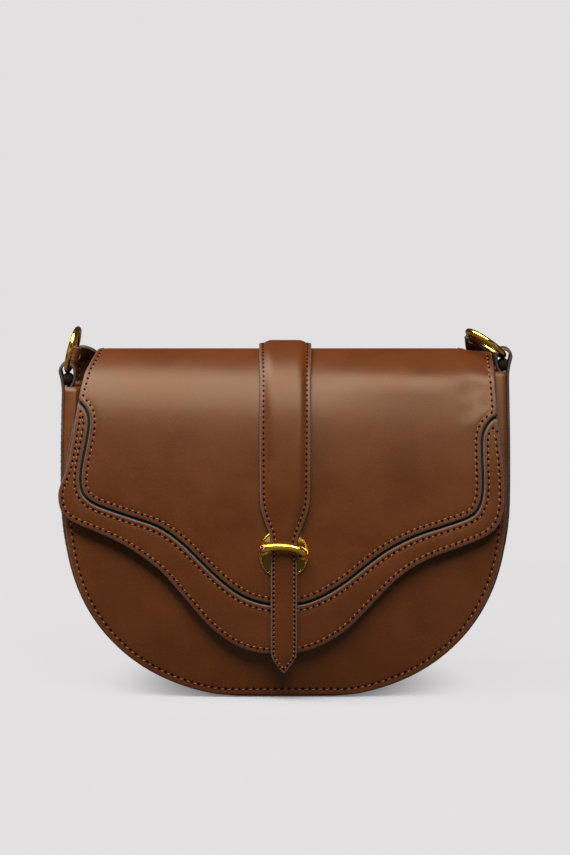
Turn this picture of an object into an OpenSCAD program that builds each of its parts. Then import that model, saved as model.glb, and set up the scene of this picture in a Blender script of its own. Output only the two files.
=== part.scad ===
/* [Bag body] */
// Widest width across the side gusset
body_w = 237; // [180:1:320]
// Height at which the body is widest
belly_h = 107; // [90:1:130]
// Height of the back panel, where the flap folds over
back_h = 173; // [165:1:185]
// How far the front panel's top stays below the back panel's
front_drop = 23; // [17:1:28]
// How far the left end of the gusset stays below the back panel's top
left_drop = 13.5; // [9:0.5:19]
// How far the right end of the gusset stays below the back panel's top
right_drop = 5.5; // [5:0.5:13]
// Depth at the base
base_depth = 76; // [70:1:90]
// How far the front panel draws back from base to top, as a share of half the depth
front_draw_share = 1; // [0.9:0.01:1.05]
// How far the back panel draws forward from base to top, in the same share
back_draw_share = 0.145; // [0.08:0.005:0.2]
// How far the front panel narrows on each side towards its top
front_taper = 7; // [3:0.5:12]
// Exponent of the round lower outline, 2 is an ellipse
outline_power = 2.4; // [2.1:0.1:2.8]
// Height lost where the round outline is flat on the table
base_cut = 1.4; // [1:0.1:3]

/* [Leather and lining] */
// Thickness of the panel leather
panel_t = 1.6; // [1.2:0.1:2]
// Thickness of the gusset leather
gusset_t = 1.4; // [1:0.1:1.8]
// Thickness of the stiffening board
board_t = 1; // [0.6:0.1:1.2]
// Thickness of the lining
lining_t = 0.8; // [0.5:0.1:1]
// Width of the gusset edge that is turned in and sewn
seam_w = 8; // [6:0.5:12]
// How far the gusset stands outside the front and back panels
edge_reveal = 1; // [0.5:0.1:2]
// Running clearance between pieces that move past each other
clearance = 0.3; // [0.2:0.05:0.5]

/* [Flap] */
// Widest width of the flap, at its two lower corners
flap_w = 237; // [200:1:300]
// Rise of the flap's fold over the back panel's top
flap_rise = 5; // [3:0.5:11]
// Lowest point of the flap, at its centre
flap_low = 23; // [20:1:30]
// How far the flap hangs in front of the base
flap_stand = 7; // [6:0.5:10]
// Thickness of the base layer of the flap
flap_base_t = 1.6; // [1.2:0.1:1.8]
// Thickness of the panel and the border on the base layer
overlay_t = 1.4; // [1:0.1:1.8]
// Width of the groove between panel and border
groove_w = 1.3; // [0.8:0.1:3]
// Height of the part of the flap that is sewn to the back panel
anchor_h = 34; // [20:1:60]
// How far each end of the flap's fold stays inside the ring pivots
fold_gap = 15; // [12:0.2:20]

/* [Closure strap] */
// Width of the strap over the flap
strap_w = 28; // [22:1:34]
// Width of the tongue
tongue_w = 13.8; // [10:0.2:18]
// Height at which the strap starts to narrow
neck_top_h = 104; // [98:1:112]
// Height at which the strap has narrowed to the tongue
neck_low_h = 85; // [82:1:92]
// Height at which the tongue can bend away
tongue_fold_h = 71; // [68:1:73]
// Height of the shoulders of the tongue's point
tongue_shoulder_h = 21.5; // [18:0.5:30]
// Height of the tip of the tongue
tongue_tip_h = 13; // [12:0.5:16]
// Thickness of the strap's backing
backing_t = 1.6; // [1.5:0.1:1.8]
// Thickness of the strap's face leather, and of the tongue
face_t = 2.4; // [2:0.1:2.8]
// Thickness of the padding inside the strap
padding_t = 1.2; // [0.8:0.1:1.6]
// Width of the padding
padding_w = 18; // [12:1:20]

/* [Metal] */
// Diameter of the round plate under the strap
plate_d = 26.5; // [22:0.5:30]
// Thickness of the plate
plate_t = 1; // [0.8:0.1:1.2]
// Height of the middle of the plate
plate_h = 75.7; // [74:0.1:77]
// Height of the bar that holds the tongue
bar_h = 78.5; // [77:0.1:80]
// Diameter of the bar
bar_d = 2.8; // [2:0.1:3.4]
// Distance between the two legs of the bar
bar_span = 20; // [19:0.2:21]
// Diameter of the magnets of the hidden clasp
magnet_d = 16; // [12:1:18]
// Thickness of the magnet on the body
magnet_t = 1.6; // [1.2:0.1:2]
// Height of the clasp
magnet_h = 42; // [38:1:50]
// Outer diameter of the strap rings
ring_d = 26; // [24:0.5:30]
// Wire diameter of the strap rings
wire_d = 3; // [2.5:0.1:3.4]
// Lean of the left ring towards the middle
ring_left_angle = 14; // [0:1:20]
// Lean of the right ring towards the middle
ring_right_angle = 58; // [40:1:60]

/* [Ring tabs] */
// How far each ring's pivot lies inside the side of the gusset
ring_in = 1; // [0.5:0.1:2]
// Distance of the ring's middle behind the middle of the base
ring_y = 20; // [16:1:22]
// Height of each ring's pivot over the end of the gusset
ring_rise = 7.5; // [7:0.1:9]
// Width of the tab that holds the ring
tab_w = 11; // [8:0.5:12]
// Thickness of the tab leather
tab_t = 1.5; // [1.2:0.1:1.8]
// Width of the side strip
side_strip_w = 20; // [16:1:26]
// Height of the lower end of the side strip
side_strip_low = 62; // [40:1:80]

/* [Shoulder strap] */
// Width of the shoulder strap
carry_w = 14; // [10:1:14]
// Thickness of the shoulder strap
carry_t = 2.8; // [2:0.1:3.4]
// How far each hanging leg stays inside the ring pivots
carry_in = 9.5; // [6:0.5:14]
// How far the middle of the hanging strap stays behind the base
carry_gap = 8.5; // [8:0.5:16]
// How far the joint of the strap and its ring ends stays below the back panel's top
carry_drop = 3; // [1:0.5:5]
// Height of the lowest part of the hanging strap
carry_low = 6; // [4:1:20]
// Radius of the loop's lower bends, as a share of a leg's distance from the middle
carry_bend_share = 0.78; // [0.6:0.01:0.85]
// Part of a straight leg that twists, as a share
carry_twist_share = 0.88; // [0.6:0.01:0.95]

/* [Inside pocket] */
// Width of the slip pocket
pocket_w = 120; // [80:1:150]
// Height of the slip pocket
pocket_h = 78; // [50:1:80]
// Height of the bottom of the pocket
pocket_low = 52; // [50:1:60]
// Room inside the pocket
pocket_room = 7.2; // [7:0.1:8]

/* [Hidden] */

$fn = 48;
leather_colour = "#5c3620";
dark_leather_colour = "#3c2216";
lining_colour = "#b89a78";
board_colour = "#c9b48c";
brass_colour = "#c9a348";
steel_colour = "#b9bcc0";

// Steps along the curves
outline_step = 5;
side_steps = 6;
profile_steps = 12;
spline_steps = 4;
neck_steps = 6;
// Exponents of the slow curves of the front and back panels
front_power = 1.6;
back_power = 1.5;
// Height over which a slope is measured
probe = 1;
// Length by which cuts and prisms run past what they cut
overrun = 30;
// Rounding of the tongue's tip, as a share of its width
point_share = 0.12;
// Slope of the anchor's ends and length of the strap's tail, as shares of the anchor's height
anchor_slope_share = 0.5;
tail_share = 1.6;

// Side view of the flap, from the fold at the back to the hanging edge:
// shares of its depth and of its height
flap_profile_shares = [
    [1, 0.966], [0.985, 0.989], [0.928, 1], [0.833, 0.997], [0.720, 0.975],
    [0.606, 0.933], [0.505, 0.871], [0.423, 0.798], [0.328, 0.680],
    [0.246, 0.562], [0.177, 0.449], [0.114, 0.337], [0.059, 0.225],
    [0.021, 0.129], [0, 0.056]
];
// Steps of the profile in the soft fold, before the flap's face starts
fold_steps = 6;
// Outline of one half of the flap, from the middle of the lower edge up:
// shares of its half width and of its height. From its corner up the
// shares of the width run to the end of the fold.
corner_steps = 9;
flap_outline_shares = [
    [0, 0], [0.127, 0.014], [0.263, 0.071], [0.407, 0.176], [0.542, 0.281],
    [0.678, 0.350], [0.831, 0.402], [0.932, 0.441], [0.990, 0.497],
    [1, 0.556], [0.983, 0.647], [0.958, 0.752], [0.932, 0.850],
    [0.905, 0.922], [0.872, 0.974], [0.872, 1.06]
];
// Line of the groove, in the same shares
groove_shares = [
    [0, 0.169], [0.119, 0.180], [0.237, 0.229], [0.356, 0.304], [0.475, 0.379],
    [0.610, 0.431], [0.763, 0.471], [0.856, 0.507], [0.894, 0.562],
    [0.894, 0.634], [0.884, 0.719], [0.890, 0.778], [0.915, 0.817], [0.980, 0.852]
];

// Heights that follow the back panel's top
front_h = back_h - front_drop;
side_left_h = back_h - left_drop;
side_right_h = back_h - right_drop;
flap_top = back_h + flap_rise;
carry_h = back_h - carry_drop;

// Curves
function reversed(p) = [for (i = [len(p) - 1:-1:0]) p[i]];
function slice(p, a, b) = [for (i = [a:b]) p[i]];
function mirrored(half) = concat(
    [for (i = [len(half) - 1:-1:1]) [-half[i][0], half[i][1]]], half);
function between(a, b, c, d, t) = 0.5 * (2 * b + (c - a) * t
    + (2 * a - 5 * b + 4 * c - d) * t * t + (3 * b - a - 3 * c + d) * t * t * t);
function spline(p) = let (last = len(p) - 1) concat(
    [for (i = [0:last - 1], k = [0:spline_steps - 1])
        between(p[max(i - 1, 0)], p[i], p[i + 1], p[min(i + 2, last)], k / spline_steps)],
    [p[last]]);
function inward(p, i) = let (
    t = p[min(i + 1, len(p) - 1)] - p[max(i - 1, 0)]) [-t[1], t[0]] / norm(t);
function inset(p, d) = [for (i = [0:len(p) - 1]) p[i] + d * inward(p, i)];
function strip(p, a, b) = concat(inset(p, a), reversed(inset(p, b)));

// Outline of the body as seen from the front, from the top left end
// down round the base to the top right end
function round_x(a) = body_w / 2 * pow(sin(a), 2 / outline_power);
function round_z(a) = max(0,
    (belly_h + base_cut) * (1 - pow(cos(a), 2 / outline_power)) - base_cut);
function side_up(draw, top) = [for (k = [1:side_steps]) let (s = k / side_steps)
    [body_w / 2 - draw * s * s, belly_h + (top - belly_h) * s]];
function body_half(draw, top) = concat(
    [for (a = [0:outline_step:90]) [round_x(a), round_z(a)]], side_up(draw, top));
function body_path(draw, left, right) = concat(
    [for (p = reversed(body_half(draw, left))) [-p[0], p[1]]],
    slice(body_half(draw, right), 1, len(body_half(draw, right)) - 1));

gusset_path = body_path(0, side_left_h, side_right_h);
front_path = body_path(front_taper, front_h, front_h);
// The back panel is cut low at its corners, where the ring ends pass
back_corner_w = 22;
back_corner_h = 20;
back_path = let (side = back_h - back_corner_h, p = body_path(0, side, side)) concat(
    [[-(body_w / 2 - back_corner_w), back_h]], p, [[body_w / 2 - back_corner_w, back_h]]);

// Side view of the front and back faces
front_draw = front_draw_share * base_depth / 2;
back_draw = back_draw_share * base_depth / 2;
function front_y(z) = -base_depth / 2 + front_draw * pow(z / front_h, front_power);
function back_y(z) = base_depth / 2 - back_draw * pow(z / back_h, back_power);
front_steps = [for (k = [0:profile_steps]) front_h * k / profile_steps];
back_steps = [for (k = [0:profile_steps]) back_h * k / profile_steps];

function front_line(d) = [for (z = front_steps) [front_y(z) + d, z]];
function back_line(d) = [for (z = reversed(back_steps)) [back_y(z) - d, z]];
function front_band(a, b) = concat(front_line(a), reversed(front_line(b)));
function back_band(a, b) = concat(back_line(a), reversed(back_line(b)));
function depth_between(a, b) = concat(front_line(a),
    [[ring_y - side_strip_w / 2, side_right_h], [back_y(back_h) - b, side_right_h]],
    [for (p = back_line(b)) if (p[1] < side_right_h) p]);

// Side view of the flap
flap_front_y = -base_depth / 2 - flap_stand;
flap_back_y = back_y(back_h) + panel_t;
flap_profile = spline([for (s = flap_profile_shares)
    [flap_front_y + s[0] * (flap_back_y - flap_front_y), s[1] * flap_top]]);
fold_end = fold_steps * spline_steps;
face_end = len(flap_profile) - 1;
face_heights = [for (p = reversed(slice(flap_profile, fold_end, face_end))) [p[1], p[0]]];
function flap_y(z) = lookup(z, face_heights);
function flap_lean(z) = atan((flap_y(z + probe) - flap_y(z - probe)) / (2 * probe));
function panel_lean(z) = atan((front_y(z + probe) - front_y(z - probe)) / (2 * probe));
function layer(from, to, a, b) = concat(
    slice(inset(flap_profile, a), from, to), reversed(slice(inset(flap_profile, b), from, to)));

// Front views of the flap
flap_half = flap_w / 2;
ring_x = body_w / 2 - ring_in;
fold_half = ring_x - fold_gap;
fold_share = flap_outline_shares[len(flap_outline_shares) - 1][0];
function toward_fold(s) = flap_half - (1 - s) / (1 - fold_share) * (flap_half - fold_half);
function height_at(share) = flap_low + share * (flap_top - flap_low);
flap_path = let (p = flap_outline_shares) mirrored(spline([for (i = [0:len(p) - 1])
    [i > corner_steps ? toward_fold(p[i][0]) : p[i][0] * flap_half, height_at(p[i][1])]]));
groove_path = mirrored(spline([for (s = groove_shares)
    [s[0] * flap_half, height_at(s[1])]]));
sky = flap_top + overrun;
function over(p) = concat([[p[0][0], sky]], p, [[p[len(p) - 1][0], sky]]);

// How far the tongue's two faces stand out from the flap
tongue_in = backing_t;
tongue_out = backing_t + face_t;

// The ring pivots
ring_r = (ring_d - wire_d) / 2;
carry_x = ring_x - carry_in;
carry_y = base_depth / 2 + carry_gap;
ring_left_h = side_left_h + ring_rise;
ring_right_h = side_right_h + ring_rise;
// A tab's bore leaves room for the ring's curve across the tab
tab_sag = ring_r - sqrt(ring_r * ring_r - tab_w * tab_w / 4);
tab_bore = wire_d / 2 + tab_sag + clearance;
// The strap end's bore lies half the sag inside the wire
end_w = tab_w;
end_bore = wire_d / 2 + tab_sag / 2 + clearance;
end_t = 1.4;
joint_y = carry_y - carry_t / 2 - clearance;
rivet_d = 5;
rivet_t = 1;

// A solid with this outline in front view, right through the bag
module seen_from_front(points) {
    rotate([90, 0, 0])
        linear_extrude(height = 2 * (base_depth + overrun), center = true)
            polygon(points);
}

// A solid with this outline in side view, right across the bag
module seen_from_side(points) {
    rotate([90, 0, 90])
        linear_extrude(height = body_w + flap_w, center = true)
            polygon(points);
}

// A leather sheet: an outline in front view cut out of a band in side view
module sheet(front, side) {
    intersection() {
        seen_from_front(front);
        seen_from_side(side);
    }
}

// Places a child on the flap's face at a height, with -Y pointing out
module on_flap(z) {
    translate([0, flap_y(z), z]) rotate([-flap_lean(z), 0, 0]) children();
}

// Places a child on the front panel at a height, with -Y pointing out
module on_panel(z) {
    translate([0, front_y(z), z]) rotate([-panel_lean(z), 0, 0]) children();
}

// A disc that stands out from y = 0 towards -Y
module disc(d, t) {
    rotate([90, 0, 0]) cylinder(d = d, h = t);
}

// Body
module front_panel() {
    color(leather_colour)
        sheet(inset(front_path, edge_reveal), front_band(0, panel_t));
}

module back_panel() {
    color(leather_colour)
        sheet(inset(back_path, edge_reveal), back_band(0, panel_t));
}

// The gusset is a web round the bag with its edges turned in behind the panels
module gusset() {
    color(leather_colour) union() {
        sheet(strip(gusset_path, 0, gusset_t), depth_between(panel_t, panel_t));
        sheet(strip(front_path, 0, seam_w), front_band(panel_t, panel_t + gusset_t));
        difference() {
            sheet(strip(gusset_path, 0, seam_w), back_band(panel_t, panel_t + gusset_t));
            translate([0, 0, side_right_h + overrun])
                cube([2 * body_w, 2 * body_w, 2 * overrun], center = true);
        }
    }
}

module board(path, band) {
    color(board_colour) sheet(inset(path, seam_w + clearance), band);
}

module front_board() {
    board(front_path, front_band(panel_t, panel_t + board_t));
}

module back_board() {
    color(board_colour) difference() {
        board(back_path, back_band(panel_t, panel_t + board_t));
        seen_from_front(strip(gusset_path, 0, seam_w + clearance));
    }
}

module front_lining() {
    a = panel_t + gusset_t;
    color(lining_colour)
        sheet(inset(front_path, gusset_t + lining_t), front_band(a, a + lining_t));
}

module back_lining() {
    a = panel_t + gusset_t;
    color(lining_colour) difference() {
        sheet(inset(gusset_path, gusset_t + lining_t), back_band(a, a + lining_t));
        translate([0, 0, side_left_h + overrun])
            cube([2 * body_w, 2 * body_w, 2 * overrun], center = true);
    }
}

module gusset_lining() {
    a = panel_t + gusset_t;
    color(lining_colour)
        sheet(strip(gusset_path, gusset_t, gusset_t + lining_t), depth_between(a, a));
}

// A flat pocket on the back lining, open at its top
module slip_pocket() {
    a = panel_t + gusset_t + lining_t;
    w = pocket_w / 2;
    top = pocket_low + pocket_h;
    color(lining_colour) difference() {
        sheet([[-w, pocket_low], [w, pocket_low], [w, top], [-w, top]],
            back_band(a, a + pocket_room + lining_t));
        sheet([[-w + lining_t, pocket_low + lining_t], [w - lining_t, pocket_low + lining_t],
            [w - lining_t, top + overrun], [-w + lining_t, top + overrun]],
            back_band(-overrun, a + pocket_room));
    }
}

// Side strip on the gusset, with the tab that holds the ring at its top
module side_strip(side, top) {
    z = top + ring_rise;
    low_y = ring_y * side_strip_low / top;
    w = side_strip_w / 2;
    color(leather_colour) {
        intersection() {
            seen_from_front(strip(gusset_path, -tab_t, 0));
            seen_from_side([[low_y, side_strip_low - w], [low_y + w, side_strip_low],
                [ring_y + w, top], [ring_y - w, top], [low_y - w, side_strip_low]]);
            translate([side * body_w / 2, 0, 0])
                cube([body_w, 2 * body_w, 4 * body_w], center = true);
        }
        difference() {
            union() {
                translate([side * ring_x, ring_y, z]) rotate([90, 0, 0])
                    cylinder(r = tab_bore + tab_t, h = tab_w, center = true);
                translate([side * (body_w + tab_t) / 2, ring_y, (top + z - tab_bore) / 2])
                    cube([tab_t, tab_w, z - top - tab_bore + 2 * tab_t], center = true);
            }
            translate([side * ring_x, ring_y, z]) rotate([90, 0, 0])
                cylinder(r = tab_bore, h = 2 * tab_w, center = true);
        }
    }
}

module side_strip_left() {
    side_strip(-1, side_left_h);
}

module side_strip_right() {
    side_strip(1, side_right_h);
}

// Back of the flap and of the closure strap, sewn to the back panel
module flap_anchor() {
    w = fold_half;
    in = anchor_slope_share * anchor_h;
    low = back_h - anchor_h;
    color(leather_colour)
        sheet([[-w, back_h], [-w + in, low], [w - in, low], [w, back_h]],
            back_band(-panel_t, 0));
}

module closure_strap_tail() {
    w = strap_w / 2;
    low = back_h - tail_share * anchor_h;
    color(leather_colour)
        sheet([[-w, back_h], [-w, low + w / 2], [0, low], [w, low + w / 2], [w, back_h]],
            back_band(-panel_t - backing_t, -panel_t));
}

module magnet_socket() {
    color(steel_colour) on_panel(magnet_h) translate([0, -clearance / 2, 0])
        disc(magnet_d, magnet_t);
}

module magnet_socket_rivet() {
    color(steel_colour) on_panel(magnet_h)
        translate([0, panel_t + gusset_t + lining_t + rivet_t + clearance / 2, 0])
            disc(magnet_d / 2, rivet_t);
}

// Flap
module flap_fold() {
    color(leather_colour) difference() {
        sheet(over(flap_path), layer(0, fold_end, 0, overlay_t + flap_base_t));
        below_fold();
    }
}

// Room for the tops of the back panel, the anchor and the strap's tail
module below_fold() {
    low_y = back_y(back_h) - overlay_t - flap_base_t;
    h = back_h + clearance;
    seen_from_side([[low_y, 0], [low_y + overrun, 0], [low_y + overrun, h], [low_y, h]]);
}

module flap_base() {
    color(dark_leather_colour)
        sheet(over(flap_path), layer(fold_end, face_end, overlay_t, overlay_t + flap_base_t));
}

module flap_panel() {
    color(leather_colour) intersection() {
        sheet(over(flap_path), layer(fold_end, face_end, 0, overlay_t));
        seen_from_front(over(inset(groove_path, groove_w / 2)));
    }
}

module flap_border() {
    color(leather_colour) difference() {
        sheet(over(flap_path), layer(fold_end, face_end, 0, overlay_t));
        seen_from_front(over(inset(groove_path, -groove_w / 2)));
    }
}

// Room between the flap and the front panel at the clasp
clasp_room = (front_y(magnet_h) - flap_y(magnet_h)) * cos(flap_lean(magnet_h))
    - overlay_t - flap_base_t;
stud_t = clasp_room - magnet_t - 2 * clearance;

module magnet_stud() {
    color(steel_colour) on_flap(magnet_h)
        translate([0, overlay_t + flap_base_t + clearance / 2 + stud_t, 0])
            disc(magnet_d, stud_t);
}

// Closure strap
function neck(k) = let (s = k / neck_steps) [
    tongue_w / 2 + (strap_w - tongue_w) / 2 * (0.5 - 0.5 * cos(180 * s)),
    neck_low_h + (neck_top_h - neck_low_h) * s];
strap_outline = mirrored(concat([[0, tongue_fold_h], [tongue_w / 2, tongue_fold_h]],
    [for (k = [0:neck_steps]) neck(k)], [[strap_w / 2, sky]]));
strap_block = [[-strap_w / 2, 0], [strap_w / 2, 0], [strap_w / 2, sky], [-strap_w / 2, sky]];

module closure_strap_fold() {
    color(leather_colour) difference() {
        sheet(strap_block, layer(0, fold_end, -backing_t - face_t, 0));
        below_fold();
    }
}

module closure_strap() {
    color(leather_colour) difference() {
        sheet(strap_outline, layer(fold_end, face_end, -tongue_out, -tongue_in));
        padding_solid();
    }
}

module padding_solid() {
    w = padding_w / 2;
    sheet([[-w, neck_top_h], [w, neck_top_h], [w, sky], [-w, sky]],
        layer(fold_end, face_end, -backing_t - padding_t, -backing_t));
}

module closure_strap_padding() {
    color(board_colour) padding_solid();
}

module closure_strap_backing() {
    w = strap_w / 2;
    low = plate_h + plate_d / 2 + 2 * clearance;
    color(dark_leather_colour) intersection() {
        sheet([[-w, low], [w, low], [w, sky], [-w, sky]],
            layer(fold_end, face_end, -backing_t, 0));
        seen_from_front(strap_outline);
    }
}

// Round plate and the bar over the tongue
module keeper_plate() {
    rim = plate_t / 2;
    color(brass_colour) on_flap(plate_h) translate([0, -clearance / 2, 0]) {
        disc(plate_d, plate_t - rim);
        translate([0, -plate_t + rim, 0]) difference() {
            disc(plate_d, rim);
            translate([0, clearance, 0]) disc(plate_d - 2 * plate_t, 2 * rim);
        }
    }
}

module keeper_bar() {
    out = tongue_out + clearance + bar_d / 2;
    rim = plate_t / 2;
    color(brass_colour) on_flap(bar_h) {
        translate([0, -out, 0]) rotate([0, 90, 0])
            cylinder(d = bar_d, h = bar_span, center = true);
        for (side = [-1, 1]) translate([side * bar_span / 2, 0, 0]) {
            translate([0, -out, 0]) sphere(d = bar_d);
            translate([0, -rim - clearance, 0]) disc(bar_d, out - rim - clearance);
        }
    }
}

module keeper_rivets() {
    inside = overlay_t + flap_base_t;
    color(brass_colour) on_flap(bar_h) for (side = [-1, 1])
        translate([side * bar_span / 2, inside + clearance / 2 + rivet_t, 0])
            disc(rivet_d, rivet_t);
}

// Tongue, which lies under the bar and hangs past the flap's edge
tongue_outline = let (w = tongue_w / 2) mirrored([
    [0, tongue_tip_h], [point_share * w, tongue_tip_h], [w, tongue_shoulder_h],
    [w, tongue_fold_h - clearance]]);

module tongue() {
    color(leather_colour)
        sheet(tongue_outline, layer(fold_end, face_end, -tongue_out, -tongue_in - face_t / 2));
}

module tongue_backing() {
    color(dark_leather_colour)
        sheet(tongue_outline, layer(fold_end, face_end, -tongue_in - face_t / 2, -tongue_in));
}

// Places a child at a ring's pivot, with +Z along the ring's lean
module at_ring(side, z, lean) {
    translate([side * ring_x, ring_y, z]) rotate([0, -side * lean, 0]) children();
}

module ring(side, z, lean) {
    color(brass_colour) at_ring(side, z, lean)
        translate([0, 0, ring_r]) rotate([0, 90, 0])
            rotate_extrude() translate([ring_r, 0]) circle(d = wire_d);
}

// The strap end folds round the back of the ring and runs to the joint
module strap_end(side, z, lean) {
    color(leather_colour) {
        at_ring(side, z, lean)
            translate([0, ring_r - tab_sag / 2, ring_r]) difference() {
                cylinder(r = end_bore + end_t, h = end_w, center = true);
                cylinder(r = end_bore, h = 2 * end_w, center = true);
            }
        hull() {
            at_ring(side, z, lean)
                translate([-end_t / 2, ring_r - tab_sag / 2 + end_bore, ring_r - end_w / 2])
                    cube([end_t, end_t, end_w]);
            translate([side * carry_x - carry_w / 2, joint_y - end_t, carry_h - carry_t / 2])
                cube([carry_w, end_t, carry_t]);
        }
    }
}

// A rivet through the strap end, on the side that faces the bag
module strap_rivet(side, z, lean) {
    color(brass_colour) at_ring(side, z, lean)
        translate([0, ring_r - tab_sag / 2, ring_r]) rotate([0, -side * 90, 0])
            translate([0, 0, end_bore + end_t + clearance / 2])
                cylinder(d = rivet_d, h = rivet_t);
}

module ring_left() {
    ring(-1, ring_left_h, ring_left_angle);
}

module strap_end_left() {
    strap_end(-1, ring_left_h, ring_left_angle);
}

module strap_rivet_left() {
    strap_rivet(-1, ring_left_h, ring_left_angle);
}

module ring_right() {
    ring(1, ring_right_h, ring_right_angle);
}

module strap_end_right() {
    strap_end(1, ring_right_h, ring_right_angle);
}

module strap_rivet_right() {
    strap_rivet(1, ring_right_h, ring_right_angle);
}

// Shoulder strap: it hangs in a loop behind the bag, and each leg
// twists a quarter turn so that the loop can bend
leg_steps = 10;
bend_steps = 10;
carry_bend_r = carry_bend_share * carry_x;
bend_h = carry_low + carry_bend_r;
carry_twist = carry_twist_share * (carry_h - bend_h);
twist_top = bend_h + carry_twist;
function leg_turn(z) = 90 * min(1, max(0, (twist_top - z) / carry_twist));
// Each ring of the sweep: place, turn of the width about Z, lean of the length
carry_leg = [for (k = [0:leg_steps]) let (z = carry_h + (bend_h - carry_h) * k / leg_steps)
    [carry_x, z, leg_turn(z), 0]];
carry_bend = [for (k = [1:bend_steps]) let (a = 90 * k / bend_steps)
    [carry_x - carry_bend_r * (1 - cos(a)), bend_h - carry_bend_r * sin(a), 90, a]];
carry_half = concat(carry_leg, carry_bend);
carry_rings = concat(
    carry_half, [for (c = reversed(carry_half)) [-c[0], c[1], c[2], 180 - c[3]]]);
// The strap's section at one ring: its width turns from X to Y, and its
// thickness stays square to the width and the length
function carry_section(c) = let (
    along = [-sin(c[3]), 0, -cos(c[3])],
    wide = [cos(c[2]), sin(c[2]), 0],
    thick = cross(along, wide),
    middle = [c[0], carry_y, c[1]]) [
    for (s = [[-1, -1], [1, -1], [1, 1], [-1, 1]])
        middle + s[0] * carry_w / 2 * wide + s[1] * carry_t / 2 * thick];

module shoulder_strap() {
    points = [for (c = carry_rings) each carry_section(c)];
    corner_count = len(points) / len(carry_rings);
    last = len(points) - 1;
    sides = [for (i = [0:len(carry_rings) - 2], k = [0:corner_count - 1]) let (
        a = corner_count * i + k, b = corner_count * i + (k + 1) % corner_count)
        each [[a, b, b + corner_count], [a, b + corner_count, a + corner_count]]];
    ends = [[0, 2, 1], [0, 3, 2], [last - 3, last - 2, last - 1], [last - 3, last - 1, last]];
    color(leather_colour) polyhedron(points, concat(sides, ends));
}

front_panel();
back_panel();
gusset();
front_board();
back_board();
front_lining();
back_lining();
gusset_lining();
slip_pocket();
side_strip_left();
side_strip_right();
flap_anchor();
closure_strap_tail();
magnet_socket();
magnet_socket_rivet();
flap_fold();
flap_base();
flap_panel();
flap_border();
magnet_stud();
closure_strap_fold();
closure_strap();
closure_strap_backing();
closure_strap_padding();
keeper_plate();
keeper_bar();
keeper_rivets();
tongue();
tongue_backing();
ring_left();
strap_end_left();
strap_rivet_left();
ring_right();
strap_end_right();
strap_rivet_right();
shoulder_strap();
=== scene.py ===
import math

import bpy
import numpy as np
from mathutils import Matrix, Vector
from mathutils.geometry import delaunay_2d_cdt


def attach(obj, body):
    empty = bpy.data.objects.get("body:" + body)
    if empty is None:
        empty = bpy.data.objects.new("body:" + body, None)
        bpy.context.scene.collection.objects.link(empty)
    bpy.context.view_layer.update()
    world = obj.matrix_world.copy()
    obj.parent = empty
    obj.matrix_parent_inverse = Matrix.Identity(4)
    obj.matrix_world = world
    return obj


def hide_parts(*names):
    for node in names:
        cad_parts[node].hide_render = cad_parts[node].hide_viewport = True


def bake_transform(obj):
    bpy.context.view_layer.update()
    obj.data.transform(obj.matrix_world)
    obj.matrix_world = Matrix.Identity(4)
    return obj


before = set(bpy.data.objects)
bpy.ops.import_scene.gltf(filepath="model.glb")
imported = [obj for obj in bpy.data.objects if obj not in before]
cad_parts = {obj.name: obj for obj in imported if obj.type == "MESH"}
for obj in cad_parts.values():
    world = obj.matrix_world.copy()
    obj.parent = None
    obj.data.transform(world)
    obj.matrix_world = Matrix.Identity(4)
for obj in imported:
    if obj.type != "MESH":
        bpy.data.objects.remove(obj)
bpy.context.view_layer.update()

# ---- Studio
# The bag stands on a pale floor that fades into a plain backdrop. A wide soft
# box hangs over it, weaker ones stand in front and behind, and a strip light
# at each side draws the bright lines along the rings.
MM = 0.001
BACKDROP = "#e2e0e1"
AMBIENT = 0.05
CAMERA_TILT = math.radians(8)
CAMERA_FAR = 1.6
CAMERA_UP = 0.1425
CAMERA_AT = (-0.00026, -0.038, 0)
CAMERA_LENS = 127.4
BAG_LOW, BAG_MIDDLE = (0, 0, 0.08), (0, 0, 0.12)
# Name, place, what it points at, size, watts, and whether the bag mirrors it.
LAMPS = (("soft box above", (-0.22, -0.30, 1.06), BAG_LOW, (1.7, 0.60), 38.5, True),
         ("soft box in front", (0.0, -1.9, 0.13), BAG_LOW, (2.6, 0.6), 2.6, True),
         ("soft box behind", (0.0, 1.6, 1.1), BAG_LOW, (2.2, 1.0), 22, False),
         ("strip light left", (-1.2, -0.75, 0.45), BAG_MIDDLE, (0.14, 0.9), 1.0, True),
         ("strip light right", (1.2, -0.75, 0.45), BAG_MIDDLE, (0.14, 0.9), 0.7, True))


def linear(colour):
    """An sRGB hex colour as linear RGBA."""
    parts = [int(colour[i:i + 2], 16) / 255 for i in (1, 3, 5)]
    return [p / 12.92 if p <= 0.04045 else ((p + 0.055) / 1.055) ** 2.4 for p in parts] + [1.0]


def add_node(tree, kind, inputs=None, **settings):
    """A node with its settings, and with values or links on its inputs."""
    made = tree.nodes.new(kind)
    for name, value in settings.items():
        setattr(made, name, value)
    for key, value in (inputs or {}).items():
        if isinstance(value, bpy.types.NodeSocket):
            tree.links.new(value, made.inputs[key])
        else:
            made.inputs[key].default_value = value
    return made


def calc(tree, operation, a, b):
    return add_node(tree, "ShaderNodeMath", {0: a, 1: b}, operation=operation).outputs[0]


def remap(tree, value, source, target=(0.0, 1.0), kind="LINEAR"):
    """A value, from the source range to the target range."""
    ranges = {"From Min": source[0], "From Max": source[1],
              "To Min": target[0], "To Max": target[1]}
    return add_node(tree, "ShaderNodeMapRange", {"Value": value, **ranges},
                    interpolation_type=kind).outputs[0]


def mix_colour(tree, share, a, b):
    return add_node(tree, "ShaderNodeMix", {0: share, 6: a, 7: b}, data_type="RGBA").outputs[2]


def mix_shader(tree, share, a, b):
    return add_node(tree, "ShaderNodeMixShader", {0: share, 1: a, 2: b}).outputs[0]


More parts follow.
